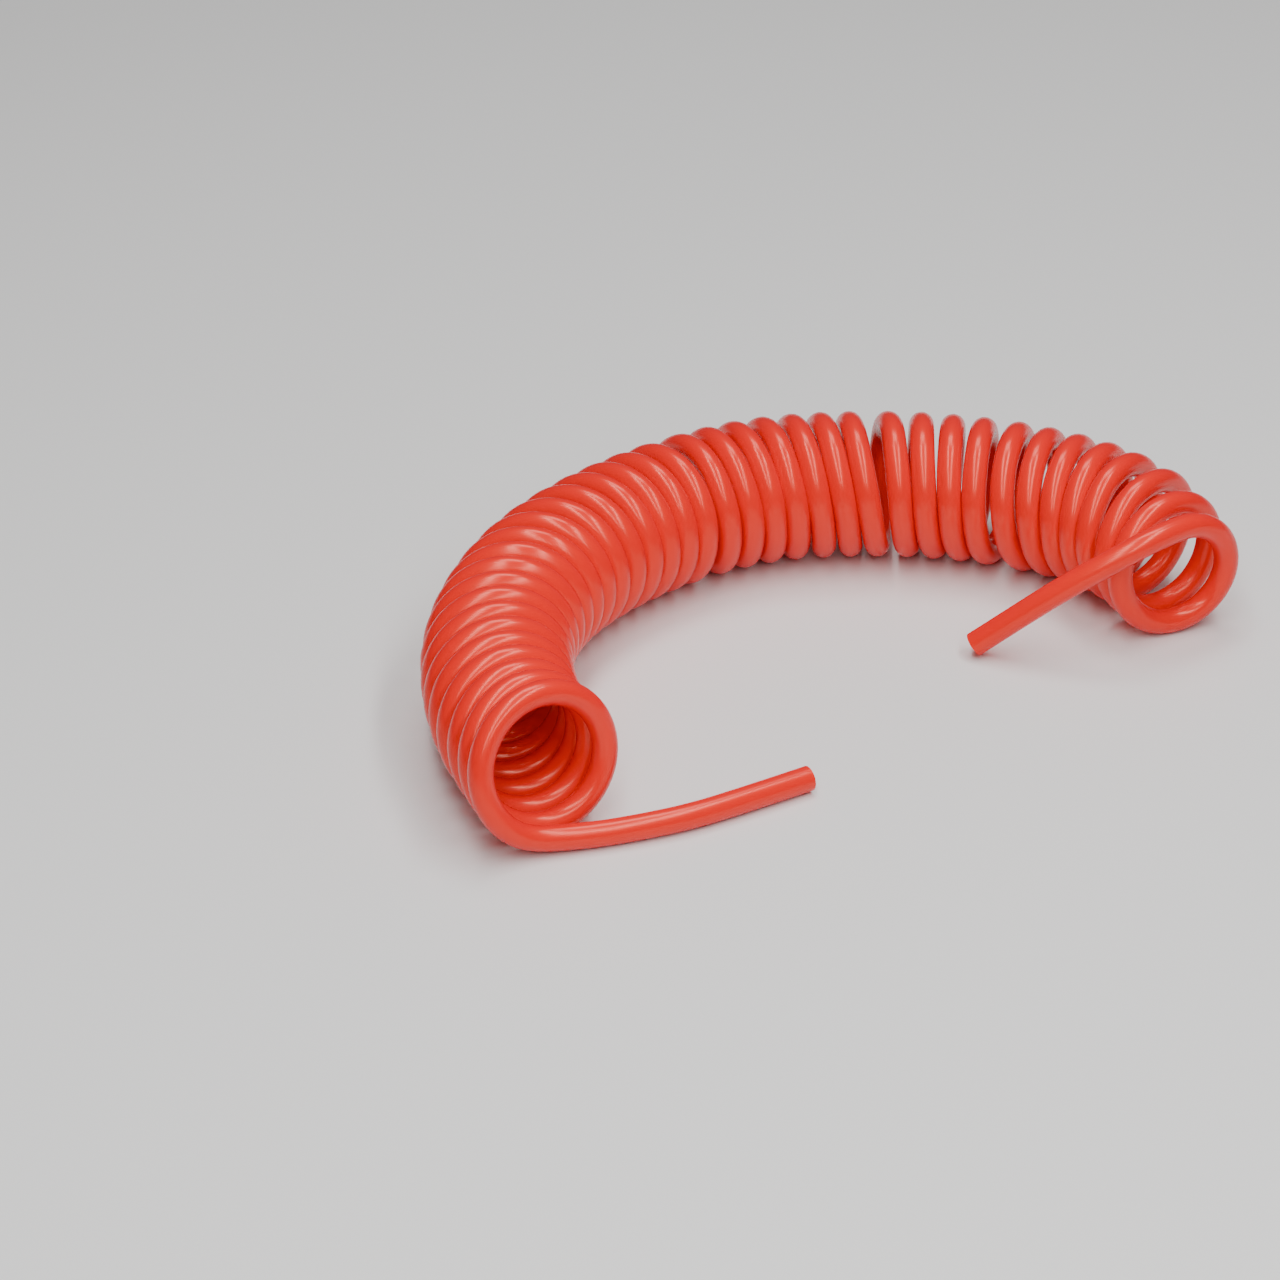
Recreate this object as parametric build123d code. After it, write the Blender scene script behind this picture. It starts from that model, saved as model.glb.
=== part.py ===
"""Recoil air hose: one polyurethane tube wound into a close coil, with two free tails.

The hose is a single extrusion, cut square at both ends and open right through.
It lies on a surface, in a curve. Its nine stretches of turns each slide a little
way along the coil from the next one, as the turns do when the coil is pulled out,
and each tail bends sideways where it leaves its end turn.

Millimetres, +Z up. The origin is on the surface the hose lies on, under the middle
of its outline. The coil runs from its front mouth, at -X -Y, round the left bend and
the back to its right mouth, at +X.
"""

import math
import os
from collections import namedtuple

from build123d import *

# Tube
TUBE_OD = 8.0
TUBE_BORE = 5.0

# Coil
COIL_OD = 48.0
FIRST_TURN = 3.9  # from the front mouth to the top of the first whole turn

# The coil's centre line, seen from above, from the front mouth to the right mouth
COIL_ROUTE = [
    (-90, -96),
    (-99, -80),
    (-107, -50),
    (-108, -18),
    (-98, 16),
    (-79, 44),
    (-53, 67),
    (-25, 82),
    (4, 86),
    (33, 85),
    (61, 78),
    (86, 65),
    (102.5, 44.5),
    (108, 27),
]

# Stretches of turns in order along the coil: how many turns each has, how far each
# turn advances along the centre line, and the extra gap that follows the stretch
Stretch = namedtuple("Stretch", "name turns pitch gap_after")
STRETCHES = [
    Stretch("front_mouth_turns", 5, 9.6, 0.0),
    Stretch("front_bend_turns", 5, 9.6, 0.0),
    Stretch("left_bend_turns", 5, 10.4, 0.0),
    Stretch("left_shoulder_turns", 4, 9.5, 3.0),
    Stretch("middle_turns", 4, 9.4, 0.3),
    Stretch("back_turns", 3, 9.2, 2.5),
    Stretch("gapped_turns", 4, 9.6, 2.4),
    Stretch("right_shoulder_turns", 5, 9.7, 3.4),
    Stretch("right_mouth_turns", 2, 11.4, 0.0),
]
STRETCH_SLIT = 0.7  # clear space between two stretches when the coil is closed up

# Tails: each route is given from a point in front of the middle of its mouth, where
# the tube just clears the end turns. The front tail lies on the surface all along.
TAIL_CLEARANCE = 0.6
FRONT_TAIL_ROUTE = [(-3, -2), (10.5, 0.9), (24, 5.2), (40, 11.5), (58, 22.2), (75.6, 33.2)]
# The right tail leaves the top of its end turn; the third number is its height, as a
# share of the way from the surface up to the top of the coil
RIGHT_TAIL_ROUTE = [
    (-2, -1, 0.96),
    (-13, -5.2, 0.885),
    (-25.5, -8.2, 0.735),
    (-40, -9, 0.51),
    (-53.5, -9, 0.26),
    (-66.5, -8, 0.0),
]

# A bend's arc takes this share of the shorter of the two straight runs it joins
ARC_SHARE = 0.45

PARTS = "parts"


def bend_radii(points):
    """Return the arc radius at each corner of a route, as large as its runs allow."""
    radii = []
    for before, corner, after in zip(points, points[1:], points[2:]):
        run_in = corner - before
        run_out = after - corner
        half_turn = math.radians(run_in.get_angle(run_out)) / 2
        reach = ARC_SHARE * min(run_in.length, run_out.length)
        radii.append(reach / math.tan(half_turn))
    return radii


def smooth_path(points):
    """Return straight runs joined by tangent arcs through a route's points."""
    return FilletPolyline(*points, radius=bend_radii(points)).wire()


def swept(path, diameter):
    """Return a round bar of the given diameter along a path."""
    section = Plane(origin=path @ 0, z_dir=path % 0) * Circle(diameter / 2)
    return sweep(section, path=path)


def coil_points():
    """Return the coil's centre line at half the coil's height above the surface."""
    return [Vector(x, y, COIL_OD / 2) for x, y in COIL_ROUTE]


def joints_along_coil():
    """Return where each stretch ends and the next begins, along the centre line.

    A stretch's last half turn is the strand at the back of the coil that leads up to
    the next stretch, and the two part at the middle of that strand.
    """
    places = []
    along = FIRST_TURN
    for stretch in STRETCHES[:-1]:
        along += stretch.turns * stretch.pitch + stretch.gap_after
        places.append(along - (stretch.pitch / 2 + stretch.gap_after) / 2)
    return places


def coil_stretches(path):
    """Return each stretch of turns as one closed solid of the coil's outer shape."""
    places = joints_along_coil()
    starts = [0.0] + [place + STRETCH_SLIT / 2 for place in places]
    ends = [place - STRETCH_SLIT / 2 for place in places] + [path.length]
    solids = {}
    for stretch, start, end in zip(STRETCHES, starts, ends):
        piece = path.trim(start / path.length, end / path.length)
        solids[stretch.name] = swept(piece, COIL_OD)
    return solids


def tail_base(mouth, inner):
    """Return the point in front of a mouth's middle that a tail's route starts from."""
    outward = (mouth - inner).normalized()
    return mouth + outward * (TUBE_OD / 2 + TAIL_CLEARANCE)


def front_tail_points():
    """Return the front tail's route, which lies on the surface."""
    mouth, inner = coil_points()[:2]
    base = tail_base(mouth, inner)
    return [Vector(base.X + x, base.Y + y, TUBE_OD / 2) for x, y in FRONT_TAIL_ROUTE]


def right_tail_points():
    """Return the right tail's route, from the top of the coil down to the surface."""
    inner, mouth = coil_points()[-2:]
    base = tail_base(mouth, inner)
    low = TUBE_OD / 2
    drop = COIL_OD - TUBE_OD
    return [Vector(base.X + x, base.Y + y, low + share * drop) for x, y, share in RIGHT_TAIL_ROUTE]


def tail_tube(points):
    """Return a tail: a tube with its bore open at both ends."""
    path = smooth_path(points)
    return swept(path, TUBE_OD) - swept(path, TUBE_BORE), path


def report_tail(name, points, tube, path):
    """Print a tail's bend radii, its length and how its volume compares with it."""
    radii = ", ".join(f"{radius:.0f}" for radius in bend_radii(points))
    section = math.pi * (TUBE_OD**2 - TUBE_BORE**2) / 4
    ratio = tube.volume / (section * path.length)
    print(f"{name}: bends {radii} mm, length {path.length:.1f} mm, volume {ratio:.4f} of its section")
    end, way = path @ 1, path % 1
    straight = (points[-1] - points[-2]).length - ARC_SHARE * min(
        (points[-1] - points[-2]).length, (points[-2] - points[-3]).length
    )
    print(f"  cut end {tuple(round(v, 3) for v in end)} pointing {tuple(round(v, 5) for v in way)}")
    print(f"  straight for the last {straight:.1f} mm")
    start = path @ 0
    print(f"  root {tuple(round(v, 3) for v in start)}")


def report_coil(path):
    """Print the coil's bend radii and each parting place with the way along the coil."""
    radii = ", ".join(f"{radius:.0f}" for radius in bend_radii(coil_points()))
    print(f"coil: bends {radii} mm, length {path.length:.1f} mm")
    for stretch, place in zip(STRETCHES, joints_along_coil()):
        way = path.tangent_at(place / path.length, position_mode=PositionMode.PARAMETER)
        print(f"  after {stretch.name}: {place:.2f} mm, way {tuple(round(v, 5) for v in way)}")


def main():
    """Build every piece of the hose and write one STEP file for each."""
    os.makedirs(PARTS, exist_ok=True)
    coil_path = smooth_path(coil_points())
    nodes = coil_stretches(coil_path)
    report_coil(coil_path)
    for name, points in (("front_tail", front_tail_points()), ("right_tail", right_tail_points())):
        tube, path = tail_tube(points)
        report_tail(name, points, tube, path)
        nodes[name] = tube
    for name, shape in nodes.items():
        export_step(shape, os.path.join(PARTS, f"{name}.step"))


main()
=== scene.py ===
"""Recoil air hose: one glossy polyurethane tube in a close coil, with a free tail at each end.

Metres, in the row's frame: +Z up, the origin on the table under the middle of the hose.
The whole hose is one smooth line, from the front tail's cut end, round every turn of the
coil, to the right tail's cut end. The tube follows that line, and is cut where one
stretch of turns can slide away from the next.
"""

import logging
import math
from dataclasses import dataclass
from enum import Enum

import bpy
from mathutils import Matrix, Vector


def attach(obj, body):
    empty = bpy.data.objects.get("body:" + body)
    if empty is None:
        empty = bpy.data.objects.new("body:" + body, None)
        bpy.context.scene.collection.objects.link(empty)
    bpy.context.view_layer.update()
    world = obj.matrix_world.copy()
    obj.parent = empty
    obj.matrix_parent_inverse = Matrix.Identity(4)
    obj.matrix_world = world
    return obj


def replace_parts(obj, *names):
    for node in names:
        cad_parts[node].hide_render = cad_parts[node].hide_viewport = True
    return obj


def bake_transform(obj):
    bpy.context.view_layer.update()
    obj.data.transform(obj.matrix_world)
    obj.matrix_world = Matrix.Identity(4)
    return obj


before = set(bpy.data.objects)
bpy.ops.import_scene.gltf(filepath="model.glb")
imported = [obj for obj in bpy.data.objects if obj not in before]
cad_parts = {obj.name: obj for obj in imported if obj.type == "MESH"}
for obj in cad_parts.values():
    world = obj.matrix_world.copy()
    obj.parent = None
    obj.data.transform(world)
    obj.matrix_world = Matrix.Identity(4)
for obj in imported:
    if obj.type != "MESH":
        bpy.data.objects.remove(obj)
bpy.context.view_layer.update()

log = logging.getLogger("recoil_hose")

UP = Vector((0, 0, 1))
TURN = 2 * math.pi
SMOOTH_BELOW = math.radians(40)


def from_mm(*values: float) -> Vector:
    """Return a point given in millimetres as a vector in metres."""
    return Vector(values) / 1000


def linear(colour: str) -> tuple[float, float, float, float]:
    """Turn an sRGB hex colour into the linear values a shader takes.

    Args:
        colour: six hex digits after a hash.

    Returns:
        Linear red, green, blue, and an alpha of 1.
    """
    channels = [int(colour[i : i + 2], 16) / 255 for i in (1, 3, 5)]
    curve = [c / 12.92 if c <= 0.04045 else ((c + 0.055) / 1.055) ** 2.4 for c in channels]
    return (*curve, 1.0)


def add_node(
    tree: bpy.types.NodeTree,
    kind: str,
    settings: dict[str, object] | None = None,
    inputs: dict[str, object] | None = None,
) -> bpy.types.Node:
    """Add one shader node, set it up, and link what feeds it.

    Args:
        tree: the material's or world's node tree.
        kind: the node's type name.
        settings: properties of the node itself.
        inputs: values for its inputs; a socket is linked, anything else is set.

    Returns:
        The new node.
    """
    node = tree.nodes.new(kind)
    for name, value in (settings or {}).items():
        setattr(node, name, value)
    for name, value in (inputs or {}).items():
        if isinstance(value, bpy.types.NodeSocket):
            tree.links.new(value, node.inputs[name])
        else:
            node.inputs[name].default_value = value
    return node


# ---------------------------------------------------------------- finishes


@dataclass(frozen=True)
class Polyurethane:
    """Extruded polyurethane tube: a bright, wet-looking skin over clear-coloured plastic.

    sheen is the colour of light that glances off it: it looks warm, not white. edge says how far
    round the tube the painted shade reaches: the base colour is painted a deeper crimson towards the
    edges that the camera sees at a grazing angle. The die leaves faint lines along the tube,
    line_width apart and line_length long.
    """

    colour: str = "#F52014"
    # painted shade: the deeper crimson painted onto the base colour towards grazing edges
    painted_shade_colour: str = "#E00A1C"
    edge: float = 0.35
    sheen: str = "#FFA890"
    roughness: float = 0.24
    ior: float = 1.8
    line_width: float = 0.0009
    line_length: float = 0.030
    line_height: float = 0.00001

    def material(self) -> bpy.types.Material:
        """Make the finish of the tube's skin and bore.

        Returns:
            The new material.
        """
        material = bpy.data.materials.new("extruded_polyurethane")
        material.use_nodes = True
        tree = material.node_tree
        tree.nodes.clear()
        skin = add_node(tree, "ShaderNodeAttribute", {"attribute_name": "hose"})
        # The die lines break the long highlights up a little
        stretched = add_node(
            tree,
            "ShaderNodeMapping",
            inputs={
                "Vector": skin.outputs["Vector"],
                "Scale": (1 / self.line_width, 1 / self.line_width, 1 / self.line_length),
            },
        )
        lines = add_node(
            tree,
            "ShaderNodeTexNoise",
            inputs={"Vector": stretched.outputs[0], "Scale": 1.0, "Detail": 2.0},
        )
        bump = add_node(
            tree,
            "ShaderNodeBump",
            inputs={"Height": lines.outputs[0], "Distance": self.line_height, "Strength": 1.0},
        )
        # Painted shade: the base colour turns a deeper crimson towards the edges the camera sees at a
        # grazing angle, in place of the shade in the coil's creases
        edge = add_node(tree, "ShaderNodeLayerWeight", inputs={"Blend": self.edge})
        edge_shade_mix = add_node(
            tree, "ShaderNodeMix", {"data_type": "RGBA"}, {"Factor": edge.outputs["Facing"]}
        )
        edge_shade_mix.inputs["A"].default_value = linear(self.colour)
        edge_shade_mix.inputs["B"].default_value = linear(self.painted_shade_colour)
        shader = add_node(
            tree,
            "ShaderNodeBsdfPrincipled",
            inputs={
                "Base Color": edge_shade_mix.outputs["Result"],
                "Roughness": self.roughness,
                "IOR": self.ior,
                "Specular Tint": linear(self.sheen),
                "Normal": bump.outputs[0],
            },
        )
        add_node(tree, "ShaderNodeOutputMaterial", inputs={"Surface": shader.outputs[0]})
        return material


@dataclass(frozen=True)
class CutPolyurethane:
    """The square knife cut across the tube: the same plastic, with a dull, grainy face."""

    colour: str = "#F23A22"
    roughness: float = 0.45
    ior: float = 1.5
    grain: float = 0.0003

    def material(self) -> bpy.types.Material:
        """Make the finish of the tube's two cut ends.

        Returns:
            The new material.
        """
        material = bpy.data.materials.new("cut_polyurethane")
        material.use_nodes = True
        tree = material.node_tree
        tree.nodes.clear()
        place = add_node(tree, "ShaderNodeTexCoord")
        grain = add_node(
            tree,
            "ShaderNodeTexNoise",
            inputs={"Vector": place.outputs["Object"], "Scale": 1 / self.grain},
        )
        bump = add_node(
            tree, "ShaderNodeBump", inputs={"Height": grain.outputs[0], "Distance": self.grain / 10}
        )
        shader = add_node(
            tree,
            "ShaderNodeBsdfPrincipled",
            inputs={
                "Base Color": linear(self.colour),
                "Roughness": self.roughness,
                "IOR": self.ior,
                "Normal": bump.outputs[0],
            },
        )
        add_node(tree, "ShaderNodeOutputMaterial", inputs={"Surface": shader.outputs[0]})
        return material


@dataclass(frozen=True)
class PaleTable:
    """White laminate, pressed flat: plain and even, with a soft sheen under the hose."""

    colour: str = "#E8E7E6"
    roughness: float = 0.5

    def material(self) -> bpy.types.Material:
        """Make the table's finish.

        Returns:
            The new material.
        """
        material = bpy.data.materials.new("white_laminate")
        material.use_nodes = True
        shader = material.node_tree.nodes["Principled BSDF"]
        shader.inputs["Base Color"].default_value = linear(self.colour)
        shader.inputs["Roughness"].default_value = self.roughness
        return material


# ---------------------------------------------------------------- lines


def nurbs_line(points: list[Vector], steps: int) -> list[Vector]:
    """Return close points along a smooth NURBS line, shaped by three control points at a time.

    Args:
        points: the line's control points; it starts at the first and ends at the last.
        steps: how many points there are for each control point.

    Returns:
        Points in order along the line.
    """
    curve = bpy.data.curves.new("line", "CURVE")
    curve.dimensions = "3D"
    spline = curve.splines.new("NURBS")
    spline.points.add(len(points) - 1)
    for target, point in zip(spline.points, points):
        target.co = (*point, 1)
    spline.order_u = 3
    spline.use_endpoint_u = True
    spline.resolution_u = steps
    holder = bpy.data.objects.new("line", curve)
    mesh = bpy.data.meshes.new_from_object(holder)
    line = [vertex.co.copy() for vertex in mesh.vertices]
    bpy.data.objects.remove(holder)
    bpy.data.curves.remove(curve)
    bpy.data.meshes.remove(mesh)
    return line


def between(place: float, knots: list[tuple[float, float]]) -> float:
    """Read a value off straight lines through knots, level past the first and the last.

    Args:
        place: where to read.
        knots: (place, value) pairs in order of place.

    Returns:
        The value there.
    """
    if place <= knots[0][0]:
        return knots[0][1]
    for (x0, y0), (x1, y1) in zip(knots, knots[1:]):
        if place <= x1:
            return y0 + (y1 - y0) * (place - x0) / (x1 - x0)
    return knots[-1][1]


class Line:
    """A fixed line through space that can be asked for a place at a distance along it."""

    def __init__(self, points: list[Vector]) -> None:
        """Keep the line's points and how far along it each one is."""
        self.points = points
        self.along = [0.0]
        for a, b in zip(points, points[1:]):
            self.along.append(self.along[-1] + (b - a).length)

    @property
    def length(self) -> float:
        """The line's length."""
        return self.along[-1]

    def direction(self, distance: float) -> Vector:
        """Return the unit direction of the line at a distance along it."""
        index = self._run(distance)
        return (self.points[index + 1] - self.points[index]).normalized()

    def place(self, distance: float) -> Vector:
        """Return the point at a distance along the line, going straight on past its ends."""
        index = self._run(distance)
        return self.points[index] + self.direction(distance) * (distance - self.along[index])

    def _run(self, distance: float) -> int:
        """Find the run that holds a distance along the line.

        Args:
            distance: how far along the line.

        Returns:
            The index of the run's first point.
        """
        low, high = 0, len(self.points) - 2
        while low < high:
            middle = (low + high + 1) // 2
            if self.along[middle] <= distance:
                low = middle
            else:
                high = middle - 1
        return low


# ---------------------------------------------------------------- the hose


@dataclass(frozen=True)
class Tube:
    """The tube's section: its outside and its bore."""

    outside: float = 0.008
    bore: float = 0.005


@dataclass(frozen=True)
class Stretch:
    """Turns that keep together: one CAD body.

    Lengths are in millimetres. leans says how far the tops of the first and the last turn
    tip back along the coil, and yaws how many degrees their planes are turned from square
    to it.
    """

    name: str
    turns: int
    pitch: float
    gap_after: float
    leans: tuple[float, float]
    yaws: tuple[float, float]


@dataclass
class Coil:
    """Where the coil's turns lie: its centre line, and how the turns stand along it.

    A turn is counted from top to top. Its first half comes down on the inside of the
    coil's curve and its second half goes up on the outside. The first top stands
    first_turn along the centre line, and the bottom before it lead_in before that. The
    first loose_turns are wider by up to mouth_spread and sag sideways by up to mouth_sag.
    The last tight_turns get smaller by up to end_squeeze. The centre line has steps
    points for each control point, and the turns points_per_turn control points each.
    """

    route: list[Vector]
    stretches: list[Stretch]
    outside: float
    tube: Tube
    first_turn: float
    lead_in: float
    mouth_spread: float
    mouth_sag: float
    end_squeeze: float
    loose_turns: float = 2.3
    tight_turns: float = 2
    points_per_turn: int = 16
    steps: int = 16

    def __post_init__(self) -> None:
        """Lay the centre line and note where each stretch of turns starts on it."""
        self.axis = Line(nurbs_line(self.route, self.steps))
        self.stations: list[tuple[float, float]] = [(-0.5, self.first_turn - self.lead_in)]
        self.leans: list[tuple[float, float]] = []
        self.yaws: list[tuple[float, float]] = []
        turn, along = 0.0, self.first_turn
        for stretch in self.stretches:
            pitch = stretch.pitch / 1000
            last_bottom = stretch.turns - 0.5
            self.stations.append((turn, along))
            self.stations.append((turn + last_bottom, along + last_bottom * pitch))
            for place, lean, yaw in zip((0, last_bottom), stretch.leans, stretch.yaws):
                self.leans.append((turn + place, lean / 1000))
                self.yaws.append((turn + place, math.radians(yaw)))
            turn += stretch.turns
            along += stretch.turns * pitch + stretch.gap_after / 1000
        self.stations.append((turn, along))
        self.turns = turn

    @property
    def radius(self) -> float:
        """The radius of the tube's own line round the coil."""
        return (self.outside - self.tube.outside) / 2

    def control_radius(self) -> float:
        """Work out how far out the control points are for the smooth line to keep the radius.

        Returns:
            The control points' radius: the line is nearest to them at a point of it, and
            furthest in at the middle between two.
        """
        step = TURN / self.points_per_turn
        near_point = (3 + math.cos(step)) / 4
        near_middle = math.cos(step / 2)
        return self.radius * 2 / (near_point + near_middle)

    def looseness(self, turn: float) -> float:
        """Return how loose a turn is: 1 where the front tail leaves, 0 past the loose turns."""
        return max(0.0, 1 - (turn + 0.5) / self.loose_turns)

    def spread(self, turn: float) -> float:
        """Return a turn's size over the usual one: the mouth turn is loose, the last one tight."""
        closing = max(0.0, (turn - self.turns + self.tight_turns) / self.tight_turns)
        return 1 + self.mouth_spread * self.looseness(turn) - self.end_squeeze * closing

    def point(self, turn: float) -> Vector:
        """Place one of the line's control points.

        Args:
            turn: the turn count, whole numbers being the tops of turns.

        Returns:
            The control point.
        """
        along = between(turn, self.stations)
        way = self.axis.direction(along)
        way.rotate(Matrix.Rotation(between(turn, self.yaws), 3, "Z"))
        inwards = way.cross(UP)
        angle = TURN * turn
        spread = self.spread(turn)
        reach = self.control_radius() * spread
        sag = 1 + self.mouth_sag * self.looseness(turn) ** 2
        ring = UP * math.cos(angle) + inwards * math.sin(angle) * sag
        lean = way * (-between(turn, self.leans) * math.cos(angle))
        on_table = UP * (self.radius * (spread - 1))
        return self.axis.place(along) + ring * reach + lean + on_table

    def points(self, first: float, last: float) -> list[Vector]:
        """Return the control points of every turn between two turn counts."""
        count = round((last - first) * self.points_per_turn)
        return [self.point(first + i / self.points_per_turn) for i in range(count + 1)]


class TubeEnd(Enum):
    """What is at one end of a piece of tube: a real knife cut, or the next piece.

    The value is the number of the finish on the ring that closes that end.
    """

    JOINED = 0
    CUT = 1


@dataclass
class Hose:
    """The whole hose: one line from cut end to cut end, and the pieces of tube along it.

    The tube has sides faces round it, and steps rings for each control point. The turns start at
    first_bottom, just past the bottom where the front tail leaves. A strand between two stretches
    stops strand_stop of a turn before the next top. The places at the two distances of tail_bend from
    the end of a tail's turn are worked out, but nothing uses them.
    """

    tube: Tube
    coil: Coil
    front_tail: list[Vector]
    right_tail: list[Vector]
    finishes: list[bpy.types.Material]
    sides: int = 32
    steps: int = 4
    first_bottom: float = -0.4375
    strand_stop: float = 0.109375
    tail_bend: tuple[float, float] = (0.005, 0.032)

    def __post_init__(self) -> None:
        """Draw the hose's smooth line and turn a frame along it without twist."""
        turns = self.coil.points(self.first_bottom, self.coil.turns)
        tip_first = list(reversed(self.front_tail))
        self.before_coil = len(tip_first)
        self.line = nurbs_line(tip_first + turns + self.right_tail, self.steps)
        self.along = Line(self.line).along
        self._frames()

    def _frames(self) -> None:
        """Work out, at each point of the line, its direction and two sides square to it."""
        last = len(self.line) - 1
        self.ways = [
            (self.line[min(i + 1, last)] - self.line[max(i - 1, 0)]).normalized()
            for i in range(last + 1)
        ]
        side = self.ways[0].cross(UP).normalized()
        self.sideways = [side]
        for before, after in zip(self.ways, self.ways[1:]):
            side = before.rotation_difference(after) @ side
            side = (side - after * side.dot(after)).normalized()
            self.sideways.append(side)

    def index(self, turn: float) -> int:
        """Return which point of the line lies at a turn count.

        Args:
            turn: the turn count.

        Returns:
            The index of the nearest point. The line starts on its first control point, and
            comes nearest to each later one half a control point early.
        """
        control = self.before_coil + (turn - self.first_bottom) * self.coil.points_per_turn
        return round((control - 0.5) * self.steps)

    @property
    def length(self) -> float:
        """The length of the whole hose."""
        return self.along[-1]

    def piece(
        self, name: str, first: int, last: int, ends: tuple[TubeEnd, TubeEnd]
    ) -> bpy.types.Object:
        """Make a closed piece of hollow tube between two points of the line.

        Args:
            name: the piece's name.
            first: index of the line's point it starts at.
            last: index of the line's point it ends at.
            ends: what closes its start and its end.

        Returns:
            The new object, with its place in its mesh.
        """
        vertices: list[Vector] = []
        skin: list[tuple[float, float, float]] = []
        for diameter in (self.tube.outside, self.tube.bore):
            for i in range(first, last + 1):
                across = self.ways[i].cross(self.sideways[i])
                for j in range(self.sides):
                    angle = TURN * j / self.sides
                    x, y = math.cos(angle) * diameter / 2, math.sin(angle) * diameter / 2
                    vertices.append(self.line[i] + self.sideways[i] * x + across * y)
                    skin.append((x, y, self.along[i]))
        mesh = bpy.data.meshes.new(name)
        mesh.from_pydata(vertices, [], self._faces(last - first))
        hose_space = mesh.attributes.new("hose", "FLOAT_VECTOR", "POINT")
        hose_space.data.foreach_set("vector", [value for point in skin for value in point])
        for finish in self.finishes:
            mesh.materials.append(finish)
        caps = [end.value for end in ends for _ in range(self.sides)]
        walls = [0] * (len(mesh.polygons) - len(caps))
        mesh.polygons.foreach_set("material_index", walls + caps)
        piece = bpy.data.objects.new(name, mesh)
        bpy.context.collection.objects.link(piece)
        bpy.context.view_layer.objects.active = piece
        piece.select_set(True)
        bpy.ops.object.shade_smooth_by_angle(angle=SMOOTH_BELOW)
        piece.select_set(False)
        return piece

    def _faces(self, runs: int) -> list[tuple[int, int, int, int]]:
        """List the faces of a tube.

        Args:
            runs: how many runs of line the tube has.

        Returns:
            Vertex indices of its outside and bore, then of its first and its last end.
        """
        n = self.sides
        bore = (runs + 1) * n
        faces = []
        for i in range(runs):
            for j in range(n):
                a, b = i * n + j, i * n + (j + 1) % n
                faces.append((a, b, b + n, a + n))
                faces.append((bore + a, bore + a + n, bore + b + n, bore + b))
        for j in range(n):
            a, b = j, (j + 1) % n
            faces.append((a, bore + a, bore + b, b))
        for j in range(n):
            a, b = runs * n + j, runs * n + (j + 1) % n
            faces.append((a, b, bore + b, bore + a))
        return faces

    def declare(self, piece: bpy.types.Object, path: list[Vector]) -> None:
        """Log the length of a piece's line.

        Args:
            piece: the piece of tube.
            path: the points of its line.
        """
        Line(path).length
        log.info("%s: %.3f m of tube", piece.name, Line(path).length)

    def build(self) -> None:
        """Make every piece of the hose, from the front tail to the right one."""
        stretches = self.coil.stretches
        self._tail("front_tail", -0.5)
        turn = 0.0
        for here, onward in zip(stretches, stretches[1:] + [None]):
            self._stretch(here, turn, onward)
            turn += here.turns
        self._tail("right_tail", self.coil.turns)

    def _stretch(self, here: Stretch, turn: float, onward: Stretch | None) -> None:
        """Make a stretch of turns that keep together, and the strand that leads on from it.

        The strand climbs the far side of the coil, from the bottom of the last turn to near the top
        of the next stretch's first one, between the two bodies.

        Args:
            here: the stretch.
            turn: the turn count at its first top.
            onward: the next stretch, or None after the last one.
        """
        start = self.index(-0.5 if turn == 0 else turn - self.strand_stop)
        end = self.index(turn + here.turns - (0.5 if onward else 0.0))
        joined = (TubeEnd.JOINED, TubeEnd.JOINED)
        piece = self.piece(f"{here.name}_tube", start, end, joined)
        self.declare(piece, self.line[start : end + 1])
        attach(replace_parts(piece, here.name), here.name)
        if onward is None:
            return
        reach = self.index(turn + here.turns - self.strand_stop)
        strand = self.piece(f"{here.name}_strand", end, reach, joined)
        self.declare(strand, self.line[end : reach + 1])
        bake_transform(strand)

    def _tail(self, node: str, turn: float) -> None:
        """Make a tail, from the coil's end turn to its cut end.

        Args:
            node: the tail's node.
            turn: the turn count where the tail leaves the coil.
        """
        root = self.index(turn)
        if turn < 0:
            piece = self.piece(f"{node}_tube", 0, root, (TubeEnd.CUT, TubeEnd.JOINED))
            path = list(reversed(self.line[: root + 1]))
        else:
            last = len(self.line) - 1
            piece = self.piece(f"{node}_tube", root, last, (TubeEnd.JOINED, TubeEnd.CUT))
            path = self.line[root:]
        self.declare(piece, path)
        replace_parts(piece, node)
        bend = Line(path)
        start, end = (bend.place(distance) for distance in self.tail_bend)
        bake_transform(piece)


# ---------------------------------------------------------------- the studio


@dataclass(frozen=True)
class Softbox:
    """A lamp with a soft rectangular front, aimed at a point on the object."""

    name: str
    place: Vector
    aim: Vector
    width: float
    height: float
    power: float

    def build(self) -> bpy.types.Object:
        """Add the lamp.

        Returns:
            The lamp, turned to face its aim.
        """
        bpy.ops.object.light_add(type="AREA", location=self.place)
        lamp = bpy.context.object
        lamp.name = self.name
        lamp.data.shape = "RECTANGLE"
        lamp.data.size = self.width
        lamp.data.size_y = self.height
        lamp.data.energy = self.power
        lamp.rotation_euler = (self.place - self.aim).to_track_quat("Z", "Y").to_euler()
        return lamp


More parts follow.
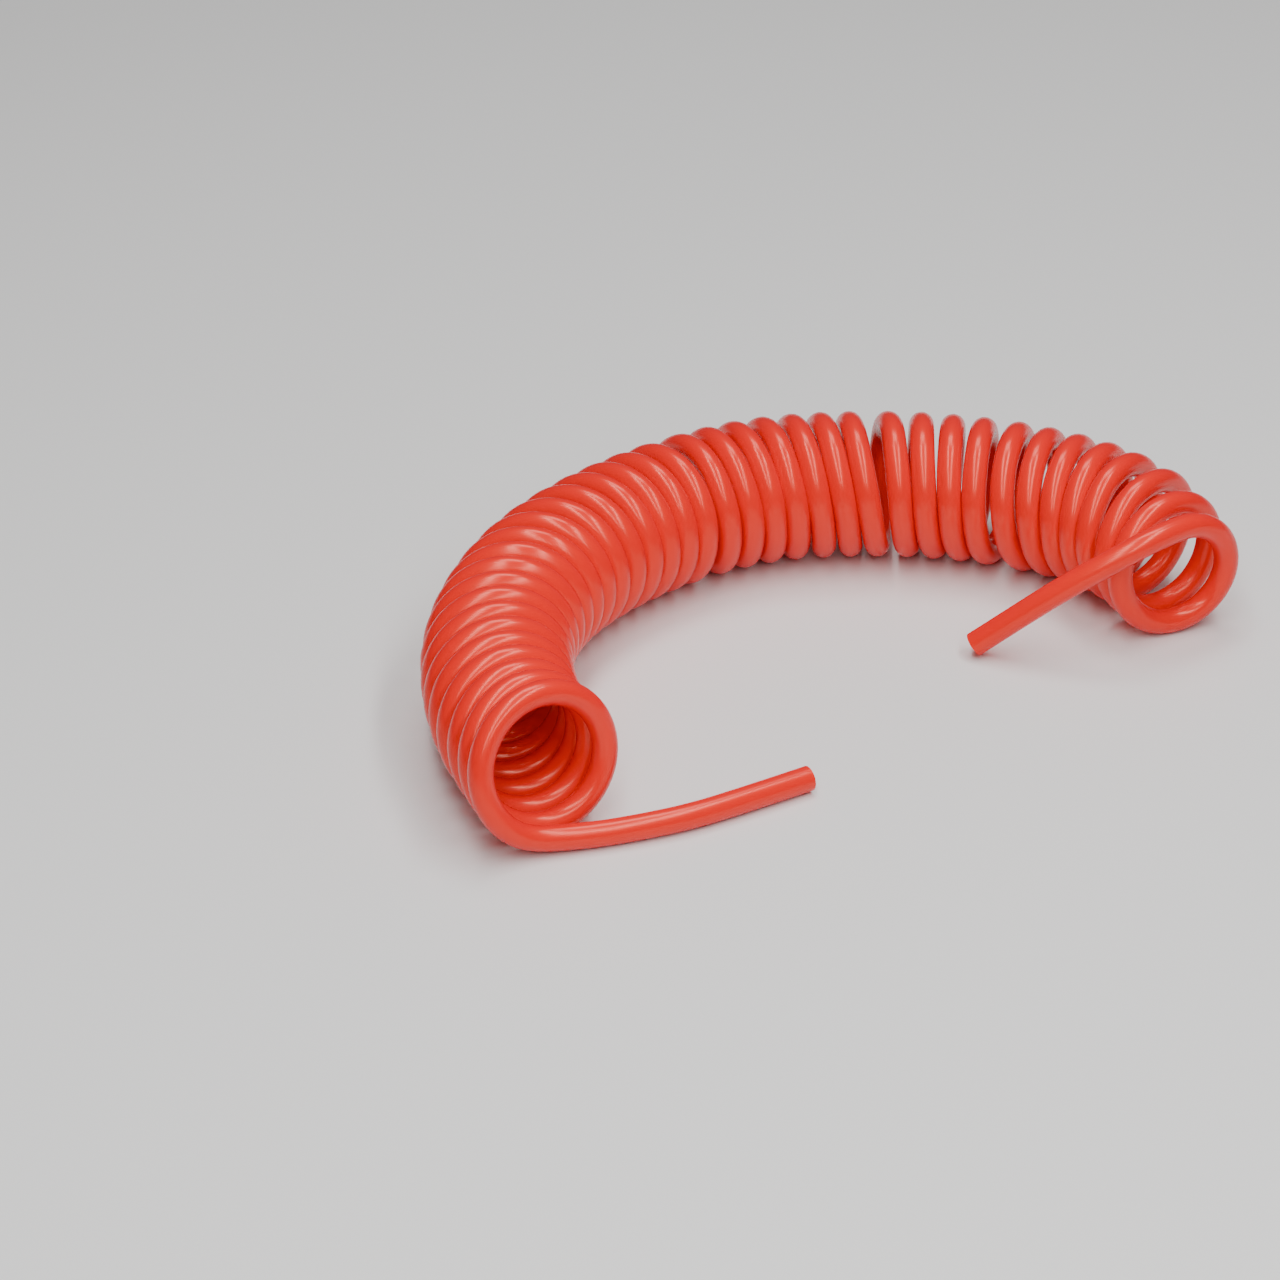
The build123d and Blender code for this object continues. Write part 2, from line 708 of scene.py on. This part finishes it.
@dataclass
class Studio:
    """The table, the lamps and the camera."""

    softboxes: list[Softbox]
    camera_place: Vector
    camera_tilt: float
    lens: float
    table: PaleTable
    room_light: float
    room_colour: str = "#FFFFFF"
    table_size: float = 8
    sensor: float = 36

    def set_camera(self) -> None:
        """Add the camera and make it the scene's."""
        bpy.ops.object.camera_add(location=self.camera_place, rotation=(self.camera_tilt, 0, 0))
        camera = bpy.context.object
        camera.data.lens = self.lens
        camera.data.sensor_width = self.sensor
        bpy.context.scene.camera = camera

    def build(self) -> None:
        """Add the table and the lamps, and light the room evenly."""
        bpy.ops.mesh.primitive_plane_add(size=self.table_size)
        table = bpy.context.object
        table.name = "table"
        table.data.materials.append(self.table.material())
        [box.build() for box in self.softboxes]
        world = bpy.data.worlds.new("studio")
        world.use_nodes = True
        background = world.node_tree.nodes["Background"]
        background.inputs["Color"].default_value = linear(self.room_colour)
        background.inputs["Strength"].default_value = self.room_light
        bpy.context.scene.world = world
        log.info("studio: the table and %d softboxes", len(self.softboxes))


# ---------------------------------------------------------------- sizes and places

TUBE = Tube()
COIL_OD = 0.048

# The coil's centre line on the table, in millimetres, from the front mouth to the right one
COIL_ROUTE = [
    (-90, -96),
    (-99, -80),
    (-107, -50),
    (-108, -18),
    (-98, 16),
    (-79, 44),
    (-53, 67),
    (-25, 82),
    (4, 86),
    (33, 85),
    (61, 78),
    (86, 65),
    (102.5, 44.5),
    (108, 27),
]

STRETCHES = [
    Stretch("front_mouth_turns", 5, 9.6, 0.0, leans=(-5.3, -2.2), yaws=(2.0, 5.5)),
    Stretch("front_bend_turns", 5, 9.6, 0.0, leans=(-2.0, -1.8), yaws=(6.5, 11.0)),
    Stretch("left_bend_turns", 5, 10.4, 0.0, leans=(-2.0, -1.8), yaws=(11.5, 4.5)),
    Stretch("left_shoulder_turns", 4, 9.5, 3.0, leans=(-1.6, -1.4), yaws=(3.5, -0.5)),
    Stretch("middle_turns", 4, 9.4, 0.3, leans=(0.2, 1.2), yaws=(-5.0, 2.0)),
    Stretch("back_turns", 3, 9.2, 2.5, leans=(1.7, 2.4), yaws=(2.5, 1.5)),
    Stretch("gapped_turns", 4, 9.6, 2.4, leans=(1.1, 0.8), yaws=(1.0, -1.0)),
    Stretch("right_shoulder_turns", 5, 9.7, 3.4, leans=(2.2, 1.8), yaws=(-2.0, 8.5)),
    Stretch("right_mouth_turns", 2, 11.4, 0.0, leans=(1.5, 0.5), yaws=(11.0, 8.0)),
]

# Each tail's route in millimetres, from the coil out to its cut end
FRONT_TAIL = [
    (-77.2, -99.1, 4),
    (-63.7, -94.8, 4),
    (-47.7, -88.5, 4),
    (-29.7, -77.8, 4),
    (-12.1, -66.8, 4),
]
RIGHT_TAIL = [
    (96.5, 17.5, 39.4),
    (84.0, 14.5, 33.4),
    (69.5, 13.7, 24.4),
    (56.0, 13.7, 14.4),
    (43.0, 14.7, 4),
]


def make_coil() -> Coil:
    """Return the coil with its sizes."""
    return Coil(
        route=[from_mm(x, y, 1000 * COIL_OD / 2) for x, y in COIL_ROUTE],
        stretches=STRETCHES,
        outside=COIL_OD,
        tube=TUBE,
        first_turn=0.0039,
        lead_in=0.0033,
        mouth_spread=0.07,
        mouth_sag=0.07,
        end_squeeze=0.09,
    )


def make_studio() -> Studio:
    """Return the studio: two long softboxes in front of the hose, and one over it."""
    middle = from_mm(0, 0, 24)
    return Studio(
        softboxes=[
            Softbox("right_softbox", from_mm(420, -900, 1050), from_mm(420, -900, 0), 0.16, 2.2, 16),
            Softbox("left_softbox", from_mm(-210, -900, 1050), from_mm(-210, -900, 0), 0.16, 2.2, 14),
            Softbox("top_softbox", from_mm(60, 550, 1500), middle, 0.7, 0.5, 8),
        ],
        camera_place=from_mm(-63.5, -1383.9, 813.1),
        camera_tilt=math.radians(60),
        lens=142.65,
        table=PaleTable(),
        room_light=0.10,
    )


def main() -> None:
    """Build the camera, the hose, then the table and lamps, and note the object's size."""
    logging.basicConfig(level=logging.INFO, format="%(name)s: %(message)s")
    studio = make_studio()
    studio.set_camera()
    finishes = [Polyurethane().material(), CutPolyurethane().material()]
    hose = Hose(
        tube=TUBE,
        coil=make_coil(),
        front_tail=[from_mm(*point) for point in FRONT_TAIL],
        right_tail=[from_mm(*point) for point in RIGHT_TAIL],
        finishes=finishes,
    )
    hose.build()
    log.info("hose: %.3f m from cut end to cut end", hose.length)
    studio.build()


if __name__ == "__main__":
    main()
